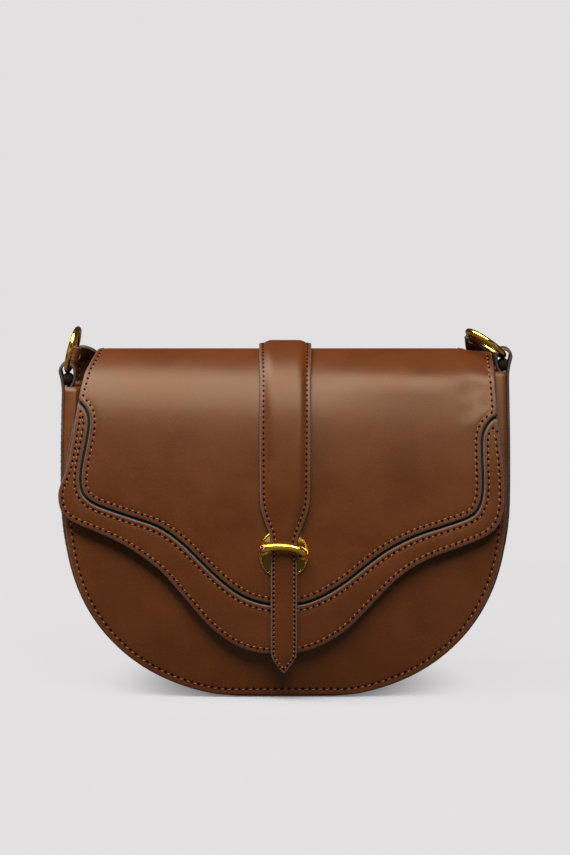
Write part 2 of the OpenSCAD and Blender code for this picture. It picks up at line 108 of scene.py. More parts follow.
def principled(tree, **inputs):
    """The main shader. A _ in an input's name stands for a space."""
    named = {name.replace("_", " "): value for name, value in inputs.items()}
    return add_node(tree, "ShaderNodeBsdfPrincipled", named).outputs[0]


def new_material(name):
    made = bpy.data.materials.new(name)
    made.use_nodes = True
    made.node_tree.nodes.clear()
    return made, made.node_tree


def new_object(name, data):
    made = bpy.data.objects.new(name, data)
    scene.collection.objects.link(made)
    return made


scene = bpy.context.scene
scene.view_settings.view_transform = "Standard"

up = Vector((0, math.sin(CAMERA_TILT), math.cos(CAMERA_TILT)))
ahead = Vector((0, math.cos(CAMERA_TILT), -math.sin(CAMERA_TILT)))
camera_data = bpy.data.cameras.new("camera")
camera_data.sensor_fit = "VERTICAL"
camera_data.sensor_height = 36
camera_data.lens = CAMERA_LENS
camera = new_object("camera", camera_data)
camera.location = Vector(CAMERA_AT) + CAMERA_UP * up - CAMERA_FAR * ahead
camera.rotation_euler = (math.radians(90) - CAMERA_TILT, 0, 0)
scene.camera = camera

for name, place, aim, size, power, mirrored in LAMPS:
    light_data = bpy.data.lights.new(name, "AREA")
    light_data.shape = "RECTANGLE"
    light_data.size, light_data.size_y = size
    light_data.energy = power
    light = new_object(name, light_data)
    light.location = place
    light.rotation_euler = (Vector(aim) - Vector(place)).to_track_quat("-Z", "Y").to_euler()
    light.visible_glossy = mirrored

world = bpy.data.worlds.new("studio")
world.use_nodes = True
scene.world = world
sky = world.node_tree
sky.nodes.clear()
seen = add_node(sky, "ShaderNodeLightPath").outputs["Is Camera Ray"]
dim = add_node(sky, "ShaderNodeBackground", {"Color": linear("#ffffff"), "Strength": AMBIENT})
plain = add_node(sky, "ShaderNodeBackground", {"Color": linear(BACKDROP)})
add_node(sky, "ShaderNodeOutputWorld",
         {"Surface": mix_shader(sky, seen, dim.outputs[0], plain.outputs[0])})

# The floor is matt board near the bag, where it takes the bag's shadow, and
# the backdrop's colour further out. Distances are from the origin, in metres.
floor_board, tree = new_material("matt white floor board")
spot = add_node(tree, "ShaderNodeTexCoord").outputs["Object"]
reach = add_node(tree, "ShaderNodeVectorMath", {0: spot}, operation="LENGTH").outputs["Value"]
near = remap(tree, reach, (0.02, 0.105), (0, 0.94), "SMOOTHSTEP")
wide = remap(tree, reach, (0.16, 0.42), kind="SMOOTHSTEP")
rays = add_node(tree, "ShaderNodeLightPath").outputs
far = calc(tree, "MULTIPLY", calc(tree, "MAXIMUM", near, wide), rays["Is Camera Ray"])
bounce = mix_colour(tree, rays["Is Glossy Ray"], linear("#5c5b5b"), linear("#4c4b4b"))
paint = mix_colour(tree, rays["Is Camera Ray"], bounce, linear("#a09e9f"))
board = principled(tree, Base_Color=paint, Roughness=0.9, Specular_IOR_Level=0.1)
card = add_node(tree, "ShaderNodeEmission", {"Color": linear(BACKDROP)}).outputs[0]
add_node(tree, "ShaderNodeOutputMaterial", {"Surface": mix_shader(tree, far, board, card)})
floor_mesh = bpy.data.meshes.new("floor")
floor_mesh.from_pydata([(-40, -40, 0), (40, -40, 0), (40, 40, 0), (-40, 40, 0)], [],
                       [(0, 1, 2, 3)])
floor_mesh.materials.append(floor_board)
floor = new_object("floor", floor_mesh)


# ---- Front panel
# One piece of smooth calf, cut round at the bottom and sewn to the gusset
# 3 mm from its edge. The cut edges are sanded and painted. Sizes are in mm.
BODY_HALF = 118.5
BELLY = 107.0
DEPTH = 76.0
FRONT_TOP = 150.0
BACK_TOP = 173.0
SKIN_T = 1.6
SEAM_IN = 3.0
PANEL_TAPER = 7
# A cut edge is rounded over: distance in from it, and how high the face and
# the back stand there, in shares of the thickness.
EDGE_IN = (0, 0.14, 0.4, 0.8)
EDGE_FACE = (0.62, 0.78, 0.92, 1.0)
EDGE_BACK = (0.28, 0.1, 0.0, 0.0)
EDGE_PAINTED = 0.66
# The stitching draws a furrow in the face. Rings of points lie beside it.
FURROW = 0.75
FURROW_RINGS = (-0.7, 0, 0.7, 1.8, 3.4)


def share(t):
    return min(1.0, max(0.0, t))


def ramp(t):
    """A smooth step from 0 to 1."""
    t = share(t)
    return t * t * (3 - 2 * t)


def spline(points, steps=8):
    """A smooth curve through the points, with some steps for each span."""
    p = np.array(points, float)
    out, last = [], len(p) - 1
    for i in range(last):
        a, b, c, d = p[max(i - 1, 0)], p[i], p[i + 1], p[min(i + 2, last)]
        for k in range(steps):
            t = k / steps
            out.append(0.5 * (2 * b + (c - a) * t + (2 * a - 5 * b + 4 * c - d) * t ** 2
                              + (3 * b - a - 3 * c + d) * t ** 3))
    out.append(p[-1])
    return np.array(out)


def lengths(points):
    """How far along a line each of its points lies."""
    return np.r_[0, np.cumsum(np.linalg.norm(np.diff(points, axis=0), axis=1))]


def unit(rows):
    return rows / np.linalg.norm(rows, axis=1)[:, None]


def at_run(s, run, rows):
    """The row at length s, between those at the lengths in run."""
    return np.array([np.interp(s, run, rows[:, k]) for k in range(rows.shape[1])])


def even(points, gap, closed=False):
    """The same line with points that lie evenly, a gap apart."""
    p = np.array(points, float)
    if closed:
        p = np.vstack([p, p[:1]])
    run = lengths(p)
    at = np.linspace(0, run[-1], max(2, int(round(run[-1] / gap))) + 1)
    if closed:
        at = at[:-1]
    return np.stack([np.interp(at, run, p[:, k]) for k in range(p.shape[1])], axis=1)


def inward(points, closed=True):
    """The direction to the left of the line, at each of its points."""
    p = np.array(points, float)
    t = np.roll(p, -1, axis=0) - np.roll(p, 1, axis=0) if closed else np.gradient(p, axis=0)
    t = unit(t[:, :2])
    return np.stack([-t[:, 1], t[:, 0]], axis=1)


def edge_distance(points, outline):
    """How far each point is from the closed outline."""
    best = np.full(len(points), 1e9)
    for a, b in zip(outline, np.roll(outline, -1, axis=0) - outline):
        t = np.clip(((points - a) @ b) / max(b @ b, 1e-9), 0, 1)
        best = np.minimum(best, np.linalg.norm(points - a - t[:, None] * b, axis=1))
    return best


def inside(points, outline):
    """Whether each point is inside the closed outline."""
    x, y = points.T
    hit = np.zeros(len(points), bool)
    for a, b in zip(outline, np.roll(outline, -1, axis=0)):
        crosses = (a[1] > y) != (b[1] > y)
        if crosses.any():
            hit ^= crosses & (x < a[0] + (y - a[1]) / (b[1] - a[1] + 1e-12) * (b[0] - a[0]))
    return hit


def leftward(outline):
    """The closed outline, run round so that its inside is on the left."""
    x, y = outline.T
    return outline[::-1] if np.sum(x * np.roll(y, -1) - y * np.roll(x, -1)) < 0 else outline


def finish_mesh(name, verts, faces, mats, materials, uv=None, edge=None):
    """A smooth object from points in mm, with its flat pattern as UV."""
    mesh = bpy.data.meshes.new(name)
    mesh.from_pydata([tuple(v) for v in np.array(verts) * MM], [], [tuple(f) for f in faces])
    for m in materials:
        mesh.materials.append(m)
    mesh.polygons.foreach_set("material_index", mats)
    mesh.polygons.foreach_set("use_smooth", [True] * len(faces))
    if uv is not None:
        layer = mesh.uv_layers.new(name="skin")
        loops = np.empty(len(mesh.loops), int)
        mesh.loops.foreach_get("vertex_index", loops)
        layer.data.foreach_set("uv", (np.array(uv) * MM)[loops].ravel())
    if edge is not None:
        attribute = mesh.attributes.new("edge", "FLOAT", "POINT")
        attribute.data.foreach_set("value", np.array(edge, float))
    mesh.validate()
    return new_object(name, mesh)


def cut_leather(name, outline, place, low, thick, materials, relief=None, dip=0.18,
                cell=5.0, gap=1.6, seam=SEAM_IN):
    """A flat cut piece, laid on a surface by place(u, v, height)."""
    outline = leftward(even(outline, gap, closed=True))
    points = [outline]
    for step in (*EDGE_IN[1:], 1.5, *(seam + d for d in FURROW_RINGS)):
        ring = outline + step * inward(outline)
        far_enough = (edge_distance(ring, outline) > step - 0.06) & inside(ring, outline)
        points.append(ring[far_enough][::1 if step < seam + 1 else 2])
    lo, hi = outline.min(0), outline.max(0)
    grid = np.array([(x + 0.5 * cell * (row % 2), y)
                     for row, y in enumerate(np.arange(lo[1], hi[1], cell * 0.87))
                     for x in np.arange(lo[0], hi[0], cell)])
    grid = grid[inside(grid, outline)]
    points.append(grid[edge_distance(grid, outline) > seam + FURROW_RINGS[-1] + 0.5 * cell])
    rim = len(outline)
    made = delaunay_2d_cdt([Vector(p) for p in np.vstack(points)],
                           [(i, (i + 1) % rim) for i in range(rim)], [], 1, 1e-4)
    flat = np.array([tuple(p) for p in made[0]])
    triangles = [list(f) for f in made[2]]
    near = edge_distance(flat, outline)
    top = np.interp(near, EDGE_IN, EDGE_FACE) * thick
    top -= dip * np.exp(-((near - seam) / FURROW) ** 2)
    if relief is not None:
        top = top + np.array([relief(u, v, d) for (u, v), d in zip(flat, near)])
    bottom = np.interp(near, EDGE_IN, EDGE_BACK) * thick
    count = len(flat)
    verts = [place(u, v, low + h) for side in (top, bottom) for (u, v), h in zip(flat, side)]
    faces = triangles + [[count + i for i in reversed(f)] for f in triangles]
    painted = [near[f].mean() < EDGE_PAINTED for f in triangles]
    mats = [int(p) for p in painted] + [1 if p else 2 for p in painted]
    edges = dict.fromkeys((a, b) for f in triangles for a, b in zip(f, f[1:] + f[:1]))
    for a, b in edges:
        if (b, a) not in edges:
            faces.append([a, count + a, count + b, b])
            mats.append(1)
    # The faces point outward, whichever way place() lays the piece.
    u, v = flat[np.argmax(near)]
    o = np.array(place(u, v, 0))
    along, across, out = (np.array(place(u + a, v + b, h)) - o
                          for a, b, h in 0.1 * np.eye(3))
    if np.cross(along, across) @ out < 0:
        faces = [f[::-1] for f in faces]
    return finish_mesh(name, verts, faces, mats, materials, np.vstack([flat, flat]),
                       np.r_[near, near])


def noise(tree, at, size, detail=2.0, rough=0.5):
    """Cloudy noise with patches of a size in mm."""
    inputs = {"Vector": at, "Scale": 1 / (size * MM), "Detail": detail, "Roughness": rough}
    return add_node(tree, "ShaderNodeTexNoise", inputs).outputs[0]


def own_noise(tree, size, detail=2.0):
    """The same on the object's own coordinates."""
    at = add_node(tree, "ShaderNodeTexCoord").outputs["Object"]
    return noise(tree, at, size, detail)


def bumps(tree, height, strength, deep):
    inputs = {"Height": height, "Strength": strength, "Distance": deep * MM}
    return add_node(tree, "ShaderNodeBump", inputs).outputs[0]


def surface(tree, **inputs):
    add_node(tree, "ShaderNodeOutputMaterial", {"Surface": principled(tree, **inputs)})


# Semi-aniline calf, aniline dyed and plated smooth: a brown that varies a
# little in depth, with fine pores and a satin sheen, and paler where the edge
# is worn. The pores are drawn 1 mm apart, coarser than real, so that they show.
def calf(name, shade, gloss=0.37, pores=1.0):
    made, tree = new_material(name)
    skin = add_node(tree, "ShaderNodeUVMap", uv_map="skin").outputs[0]
    cloudy = noise(tree, skin, 26.3, 3.0, 0.55)
    fine = noise(tree, skin, 1.11, 4.0, 0.6)
    pore = add_node(tree, "ShaderNodeTexVoronoi", {"Vector": skin, "Scale": 1 / MM},
                    feature="DISTANCE_TO_EDGE").outputs["Distance"]
    rub = add_node(tree, "ShaderNodeAttribute", attribute_name="edge").outputs["Fac"]
    depth = calc(tree, "MULTIPLY", remap(tree, cloudy, (0.3, 0.7), (0.86, 1.13)),
                 remap(tree, fine, (0.25, 0.75), (0.84, 1.16)))
    depth = calc(tree, "MULTIPLY", depth,
                 remap(tree, rub, (0.5, 2.6), (1.22, 1.0), "SMOOTHSTEP"))
    dyed = add_node(tree, "ShaderNodeVectorMath", {0: linear(shade)[:3], 3: depth},
                    operation="SCALE").outputs[0]
    surface(tree, Base_Color=dyed, Specular_IOR_Level=0.30, Specular_Tint=linear("#ffe3bc"),
            Roughness=remap(tree, cloudy, (0.3, 0.7), (gloss - 0.03, gloss + 0.04)),
            Normal=bumps(tree, calc(tree, "ADD", fine, pore), 0.09 * pores, 0.4))
    return made


# The bag's calf is a deep warm brown. Split leather, on the backs, is paler,
# matt and rough. The nearly black calf is painted shade: it colours the roll
# in each ring loop and the flap base's face, which shows only in the shaded
# gap of the flap's border.
bag_calf = calf("smooth brown calf", "#492209")
split_back = calf("brown split leather", "#4a2a18", 0.62, 2.2)
shade_black_calf = calf("calf painted black as shade", "#0b0604", 0.8, 2.0)

# Edge paint: an acrylic laid on the sanded edge in two coats. It is a dull
# grey brown, a little uneven where the coats pool.
edge_paint, tree = new_material("grey brown edge paint")
pool = own_noise(tree, 3.85, 3.0)
surface(tree, Base_Color=mix_colour(tree, pool, linear("#39312c"), linear("#574e47")),
        Roughness=0.6, Specular_IOR_Level=0.2, Normal=bumps(tree, pool, 0.15, 0.3))

# A cut piece shows its face, its painted edge and its back.
CALF = [bag_calf, edge_paint, split_back]
BACKING = [split_back, edge_paint, split_back]


def front_y(z):
    return -DEPTH / 2 + DEPTH / 2 * (max(z, 0) / FRONT_TOP) ** 1.6


def on_panel(face_y, way, x, z, h, swell):
    """A point off the face at y = face_y(z), which swells in its middle."""
    high, wide, middle, tall = swell
    h += high * math.exp(-((x / wide) ** 2 + ((z - middle) / tall) ** 2))
    slope = (face_y(z + 1) - face_y(z - 1)) / 2
    k = way * h / math.hypot(1, slope)
    return (x, face_y(z) + k, z - k * slope)


def on_front(x, z, h):
    return on_panel(front_y, -1, x, z, h, (1.1, 80, 62, 42))


def body_path(half, taper, left_top, right_top, low=0.0):
    """The bag's outline from its upper left corner, round the base."""
    def side(top):
        arc = []
        for a in range(0, 91, 3):
            s, c = math.sin(math.radians(a)), math.cos(math.radians(a))
            arc.append((half * max(s, 0) ** (2 / 2.4),
                        max(low, (BELLY + 1.4) * (1 - max(c, 0) ** (2 / 2.4)) - 1.4)))
        return arc + [(half - taper * k * k / 100, BELLY + (top - BELLY) * k / 10)
                      for k in range(1, 11)]
    left = [(-x, z) for x, z in reversed(side(left_top))]
    return np.array(left + side(right_top)[1:])


front_path = body_path(BODY_HALF - 1, PANEL_TAPER, FRONT_TOP, FRONT_TOP, 1.0)
front_panel = cut_leather("front_panel_leather", front_path, on_front, -SKIN_T, SKIN_T, CALF)
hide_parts("front_panel")
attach(front_panel, "bag")

# ---- Stitching
# Lockstitch in waxed brown thread, about 3.5 mm a stitch and finer on the
# strap and tongue. Each stitch slants a little between two needle holes.
THREAD_PITCH = 3.4
PANEL_PITCH = 3.7
THREAD_SIZE = (1.75, 0.65, 0.5)
THREAD_SLANT = 17
HOLE_SIZE = (1.5, 1.3, 0.24)
HOLE_RISE = 0.7
SUNK = 0.14
SUNK_FINE = 0.16

# Waxed thread: redder and paler than the calf, with a dull shine on its
# twisted plies, which are 0.4 mm apart.
waxed_thread, tree = new_material("waxed polyester thread")
surface(tree, Base_Color=linear("#7a4b30"), Roughness=0.55,
        Normal=bumps(tree, own_noise(tree, 0.385), 0.3, 0.2))

# A needle hole is a pit that lies in shade. That shade is painted: a thin
# near-black lozenge on the leather, with no shine, so that it shows.
needle_hole_shade, tree = new_material("shadow in the needle hole")
surface(tree, Base_Color=linear("#090402"), Specular_IOR_Level=0.0,
        Roughness=remap(tree, own_noise(tree, 1.11), (0, 1), (0.75, 0.95)))

stitch_tree = bpy.data.node_groups.new("stitches along a seam", "GeometryNodeTree")
sockets = stitch_tree.interface
sockets.new_socket("Geometry", in_out="INPUT", socket_type="NodeSocketGeometry")
stitch_inputs = {}
for label, value in (("Pitch", THREAD_PITCH * MM), ("Thread length", THREAD_SIZE[0] * MM),
                     ("Thread width", THREAD_SIZE[1] * MM), ("Hole length", HOLE_SIZE[0] * MM),
                     ("Slant", math.radians(THREAD_SLANT)), ("Thread", None), ("Hole", None)):
    kind = "NodeSocketMaterial" if value is None else "NodeSocketFloat"
    socket = sockets.new_socket(label, in_out="INPUT", socket_type=kind)
    if value is not None:
        socket.default_value = value
    stitch_inputs[label] = socket.identifier
sockets.new_socket("Geometry", in_out="OUTPUT", socket_type="NodeSocketGeometry")


def sew(kind, inputs=None, **settings):
    """A node of the stitching, as its first output."""
    return add_node(stitch_tree, kind, inputs, **settings).outputs[0]


given = add_node(stitch_tree, "NodeGroupInput").outputs
path = sew("GeometryNodeMeshToCurve", {"Mesh": given["Geometry"]})
spaced = sew("GeometryNodeResampleCurve", {"Curve": path, "Length": given["Pitch"]},
             mode="LENGTH")
outward = sew("GeometryNodeInputNamedAttribute", {"Name": "outward"}, data_type="FLOAT_VECTOR")
facing = sew("FunctionNodeAxesToRotation",
             {"Primary Axis": outward, "Secondary Axis": sew("GeometryNodeInputTangent")},
             primary_axis="Z", secondary_axis="X")
slant = sew("ShaderNodeCombineXYZ", {"Z": given["Slant"]})
turn = sew("FunctionNodeRotateRotation", {"Rotation": facing, "Rotate By": slant},
           rotation_space="LOCAL")
bead = sew("GeometryNodeMeshUVSphere", {"Segments": 6, "Rings": 4, "Radius": 0.5})


def beads(size, step, material):
    """Beads along the seam, each moved by a step in shares of its own size."""
    placed = sew("GeometryNodeInstanceOnPoints",
                 {"Points": spaced, "Instance": bead, "Rotation": turn,
                  "Scale": sew("ShaderNodeCombineXYZ", size)})
    moved = sew("GeometryNodeTranslateInstances",
                {"Instances": placed, "Translation": sew("ShaderNodeCombineXYZ", step)})
    real = sew("GeometryNodeRealizeInstances", {"Geometry": moved})
    return sew("GeometryNodeSetMaterial", {"Geometry": real, "Material": material})


threads = beads({"X": given["Thread length"], "Y": given["Thread width"],
                 "Z": THREAD_SIZE[2] * MM}, {}, given["Thread"])
half_pitch = sew("ShaderNodeMath", {0: given["Pitch"], 1: 0.5}, operation="MULTIPLY")
hole_step = sew("ShaderNodeMath", {0: half_pitch, 1: given["Hole length"]}, operation="DIVIDE")
holes = beads({"X": given["Hole length"], "Y": HOLE_SIZE[1] * MM, "Z": HOLE_SIZE[2] * MM},
              {"X": hole_step, "Z": HOLE_RISE}, given["Hole"])
joined = add_node(stitch_tree, "GeometryNodeJoinGeometry")
for part in (threads, holes):
    stitch_tree.links.new(part, joined.inputs[0])
smooth = sew("GeometryNodeSetShadeSmooth", {"Geometry": joined.outputs[0]})
add_node(stitch_tree, "NodeGroupOutput", {"Geometry": smooth})


def stitch(name, rows, place, height, pitch=THREAD_PITCH, **inputs):
    """Rows are open lines of (u, v) on the surface place(u, v, height)."""
    verts, edges, outs = [], [], []
    for row in rows:
        row = even(row, 0.9)
        p, q = (np.array([place(u, v, h) for u, v in row]) for h in (height, height + 0.2))
        edges += [(i, i + 1) for i in range(len(verts), len(verts) + len(row) - 1)]
        verts += [tuple(v) for v in p * MM]
        outs += list(unit(q - p))
    mesh = bpy.data.meshes.new(name)
    mesh.from_pydata(verts, edges, [])
    attribute = mesh.attributes.new("outward", "FLOAT_VECTOR", "POINT")
    attribute.data.foreach_set("vector", np.array(outs).ravel())
    obj = new_object(name, mesh)
    modifier = obj.modifiers.new("stitches", "NODES")
    modifier.node_group = stitch_tree
    modifier[stitch_inputs["Pitch"]] = pitch * MM
    modifier[stitch_inputs["Thread"]] = waxed_thread
    modifier[stitch_inputs["Hole"]] = needle_hole_shade
    for label, value in inputs.items():
        modifier[stitch_inputs[label.replace("_", " ")]] = value
    bpy.context.view_layer.update()
    made = bpy.data.meshes.new_from_object(
        obj.evaluated_get(bpy.context.evaluated_depsgraph_get()))
    obj.modifiers.clear()
    obj.data = made
    return obj


def seam_row(outline, distance, start, end):
    """The line inside an open outline, from one share of its length to another."""
    p = even(outline, 1.0)
    q = p + distance * inward(p, False)
    q = q[edge_distance(q, np.vstack([p, p[::-1]])) > distance - 0.15]
    return q[int(start * len(q)):int(end * len(q)) + 1]


stitches = stitch("front_panel_stitches", [seam_row(front_path, SEAM_IN, 0.01, 0.99)],
                  on_front, -SUNK, PANEL_PITCH)
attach(stitches, "bag")

# ---- Back panel
# The same calf behind, taller than the front, with its upper corners cut
# away where the strap ends pass over them.
BACK_CORNER = 96.5
BACK_SIDE = 153


def back_y(z):
    return DEPTH / 2 - 5.5 * (max(z, 0) / BACK_TOP) ** 1.5


def on_back(x, z, h):
    return on_panel(back_y, 1, x, z, h, (0.8, 75, 70, 40))


back_path = np.vstack([[(-BACK_CORNER, BACK_TOP)],
                       body_path(BODY_HALF - 1, 0, BACK_SIDE, BACK_SIDE, 1.0),
                       [(BACK_CORNER, BACK_TOP)]])
back_panel = cut_leather("back_panel_leather", back_path, on_back, -SKIN_T, SKIN_T, CALF)
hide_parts("back_panel")
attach(back_panel, "bag")
stitches = stitch("back_panel_stitches", [seam_row(back_path, SEAM_IN, 0.03, 0.97)],
                  on_back, -SUNK, PANEL_PITCH)
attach(stitches, "bag")

# ---- Gusset
# A long strip of the same calf bent round the base and up both sides. Its
# edges are turned in behind the panels, and its face swells between them.
GUSSET_T = 1.4
GUSSET_BEND = 1.3
GUSSET_SWELL = 0.9
TOP_LEFT, TOP_RIGHT = 159.5, 167.5


def ring_faces(rings, size, closed=False):
    """Faces between rings of points, and over both ends if they are open."""
    faces = []
    for i in range(rings if closed else rings - 1):
        a, b = i * size, (i + 1) % rings * size
        faces += [[a + k, a + (k + 1) % size, b + (k + 1) % size, b + k] for k in range(size)]
    if not closed:
        faces += [list(range(size))[::-1], [(rings - 1) * size + k for k in range(size)]]
    return faces


def swept_strip(name, path, section, materials):
    """Closed rings of (inward, y), given by section(z), along a path of (x, z)."""
    normal = inward(path, closed=False)
    verts, uv = [], []
    for (x, z), (nx, nz), s in zip(path, normal, lengths(path)):
        ring = section(z)
        verts += [(x + d * nx, y, z + d * nz) for d, y in ring]
        uv += [(s, y) for d, y in ring]
    faces = ring_faces(len(path), len(ring))
    return finish_mesh(name, verts, faces, [0] * (len(faces) - 2) + [1, 1], materials, uv)


def swell_at(z, y0, y1, t):
    """How far the gusset stands out, at the share t between the panels."""
    most = GUSSET_SWELL * share((z - 6) / 50) * share((y1 - y0) / 40)
    return most * math.sin(math.pi * t) ** 1.3


def gusset_section(z):
    y0, y1 = front_y(z) + SKIN_T, back_y(z) - SKIN_T
    bend = GUSSET_BEND
    turned_in = [(d, 0, d, GUSSET_T) for d in (8.0, 5.0, 2.6)]
    turned_in += [(bend - bend * math.sin(a), bend - bend * math.cos(a),
                   GUSSET_T + 0.4, GUSSET_T + 0.4) for a in np.radians((30, 60))]
    outer = [(d, y0 + y) for d, y, _, _ in turned_in]
    inner = [(d, y0 + y) for _, _, d, y in turned_in]
    for t in np.linspace(0, 1, 17):
        y = y0 + bend + (y1 - y0 - 2 * bend) * t
        out = swell_at(z, y0, y1, t)
        outer.append((-out, y))
        inner.append((GUSSET_T - out, min(max(y, y0 + GUSSET_T + 0.5), y1 - GUSSET_T - 0.5)))
    outer += [(d, y1 - y) for d, y, _, _ in turned_in[::-1]]
    inner += [(d, y1 - y) for _, _, d, y in turned_in[::-1]]
    return outer + inner[::-1]


gusset_path = even(body_path(BODY_HALF, 0, TOP_LEFT, TOP_RIGHT), 2.5)
gusset = swept_strip("gusset_leather", gusset_path, gusset_section, [bag_calf, edge_paint])
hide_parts("gusset")
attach(gusset, "bag")

# ---- Flap
# Three layers: a base that hangs from the back panel over the top edge, a
# panel that covers its upper part, and a scalloped border below it. Panel
# and border are sewn on 1.3 mm apart, with a seam on each side of the gap.
FLAP_STEPS = 10
BACK_EDGE, FACE_TOP = 5 * FLAP_STEPS, 9 * FLAP_STEPS
ANCHOR_LONG = 91
GAP = 1.3
BASE_T = 1.6
OVER_T = 1.4
SEAM_PANEL = 2.9
SEAM_BORDER = 2.8
# Its bend from the side, as (y, z): up the back, over the top edge and down
# the face.
FLAP_SIDE = [(36.6, 115), (36.1, 127), (35.64, 139), (35.16, 150), (34.66, 161), (34.15, 172),
             (32.9, 176), (28.4, 178), (20.9, 177.5), (12, 173.5), (2.9, 166.1), (-5.1, 155),
             (-11.5, 142), (-19.1, 121), (-25.5, 100), (-31, 79.9), (-36, 60), (-40.3, 40.1),
             (-43.3, 23), (-45, 10), (-46.2, 0)]
# The leather bellies out a little below the bend on the right, and the
# seam puckers it near that edge.
BULGE, BULGE_AT, BULGE_LONG = 1.7, 42, 11
# Place across and along the flap, reach and depth.
PUCKERS = ((101, 47, 8.5, 1.7), (107.0, 36, 3.2, 0.7), (104.0, 56, 3.4, 0.9),
           (97.0, 60, 4.5, 0.5))

flap_line = spline(FLAP_SIDE, FLAP_STEPS)
flap_run = lengths(flap_line)
flap_run -= flap_run[BACK_EDGE]
flap_out = -inward(flap_line, closed=False)


def down(z):
    """Length along the flap's face, from the back panel's top edge."""
    return float(np.interp(-z, -flap_line[FACE_TOP:, 1], flap_run[FACE_TOP:]))


def on_flap(x, s, h):
    (y, z), (ny, nz) = (at_run(s, flap_run, rows) for rows in (flap_line, flap_out))
    dent = -BULGE * ramp((x - 10) / 60) * math.exp(-((s - BULGE_AT) / BULGE_LONG) ** 2)
    if x > 60:
        for du, ds, reach, deep in PUCKERS:
            away = ((x - du) / reach) ** 2 + ((s - ds) / (0.8 * reach)) ** 2
            dent += deep * math.exp(-away)
    k = h / math.hypot(ny, nz) - dent
    return (x, y + k * ny, z + k * nz)


def facing_down(points):
    return [(x, down(z)) for x, z in points]


# The outlines, as (x, length along the flap) on the back and the fold, and as
# (x, z) on the face. The right corner is cut in to clear the strap end.
anchor_end = down(150) - ANCHOR_LONG
fold_left = [(-86, anchor_end), (-98, -8), (-100.6, 3), (-101.4, 12), (-102.6, 20)]
fold_right = [(111.2, 20.0), (110.7, 18.2), (107.9, 17.0), (100.8, 16.2), (97.3, 14.0),
              (96.2, 9), (96, 4), (96, -6), (94.5, -14), (86, anchor_end)]
side_left = [(-104.4, 173.5), (-107.3, 168.2), (-109.5, 159.1), (-110.2, 154.6)]
side_right = [(112.7, 146.6), (112.0, 158.0), (111.6, 166.0), (111.4, 172.0)]
hem = [(-110.6, 152.4), (-113.0, 136), (-115.9, 120), (-119.2, 111), (-120.2, 105.5),
       (-118.9, 98.4), (-115.2, 93.8), (-107.2, 89.8), (-98.7, 86.5), (-88.6, 82.0),
       (-81.9, 78.4), (-73.4, 72.7), (-65.0, 66.2), (-56.6, 57.1), (-48.2, 47.4),
       (-39.7, 38.3), (-31.3, 31.7), (-22.9, 27.2), (-14.5, 24.9), (-7.5, 24.2), (0, 24.1),
       (7.9, 25.1), (16.3, 27.6), (24.7, 31.7), (33.0, 37.4), (41.5, 45.7), (49.9, 54.3),
       (58.3, 62.4), (68.4, 69.5), (79.4, 74.7), (92.0, 79.1), (104.7, 84.1), (111.4, 89.0),
       (114.6, 95.5), (115.9, 104.5), (115.4, 120.5), (114.2, 132.4), (112.9, 144.6)]
gap_line = [(-110.3, 153.9), (-106.6, 150.2), (-104.6, 145.6), (-104.6, 139.3),
            (-105.9, 131.6), (-107.4, 123.8), (-108.4, 116.5), (-108.2, 110.2),
            (-106.0, 105.2), (-100.5, 101.2), (-90.4, 97.5), (-80.3, 94.2), (-69.3, 90.6),
            (-61.7, 86.5), (-54.1, 80.8), (-46.6, 73.8), (-39.8, 67.3), (-31.4, 60.0),
            (-22.9, 54.3), (-14.5, 51.1), (-7.5, 49.8), (0, 49.6), (7.9, 50.2), (12.9, 51.4),
            (21.3, 55.0), (31.5, 61.2), (41.6, 69.0), (51.7, 76.4), (61.7, 81.9),
            (71.8, 86.1), (83.6, 89.8), (97.2, 94.6), (102.2, 99.5), (104.4, 108.5),
            (104.3, 123.2), (104.3, 133.5), (105.6, 139.2), (109.0, 143.9), (112.6, 146.0)]
gap_curve = spline(gap_line, 4)
gap_in = inward(gap_curve, closed=False)
hem_line = facing_down(spline(hem, 4))
side_left, side_right = facing_down(side_left), facing_down(side_right)
panel_edge = facing_down(gap_curve + GAP / 2 * gap_in)
border_edge = facing_down(gap_curve - GAP / 2 * gap_in)
panel_outline = np.array(fold_left + side_left + panel_edge[2:-1] + side_right + fold_right)
border_outline = np.array(hem_line + border_edge[2:-2][::-1])
base_outline = np.array(fold_left[2:] + side_left + hem_line + side_right
                        + [(111.1, 20.0), (110.5, 18.2), (107.4, 17.0), (100.2, 16.2),
                           (96.7, 14.0), (95.7, 9), (95.5, 3)])


def ring_row(outline, distance):
    """The closed line inside a closed outline."""
    p = leftward(even(outline, 1.0, True))
    q = p + distance * inward(p)
    q = q[(edge_distance(q, p) > distance - 0.12) & inside(q, p)]
    return np.vstack([q, q[:1]])


def open_row(outline, distance, left_out):
    """The same line, open where left_out(points) says."""
    row = ring_row(outline, distance)
    start = int(np.argmax(left_out(row)))
    row = np.vstack([row[start:-1], row[:start]])
    return row[~left_out(row)]


def near_notch(row):
    return (row[:, 0] > 88) & (row[:, 1] < 21) & (row[:, 1] > 12)


# The base's face is painted nearly black: it shows only in the gap between panel and border,
# as painted shade there.
flap_base = cut_leather("flap_base_leather", base_outline, on_flap, -OVER_T - BASE_T, BASE_T,
                        [shade_black_calf, edge_paint, split_back])
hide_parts("flap_base")
flap_panel = cut_leather("flap_panel_leather", panel_outline, on_flap, -OVER_T, OVER_T, CALF,
                         cell=4.0)
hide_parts("flap_panel", "flap_fold", "flap_anchor")
flap_border = cut_leather("flap_border_leather", border_outline, on_flap, -OVER_T, OVER_T,
                          CALF)
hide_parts("flap_border")
panel_stitches = stitch("flap_panel_stitches",
                        [open_row(panel_outline, SEAM_PANEL, near_notch)], on_flap, -SUNK)
border_stitches = stitch("flap_border_stitches", [ring_row(border_outline, SEAM_BORDER)],
                         on_flap, -SUNK)
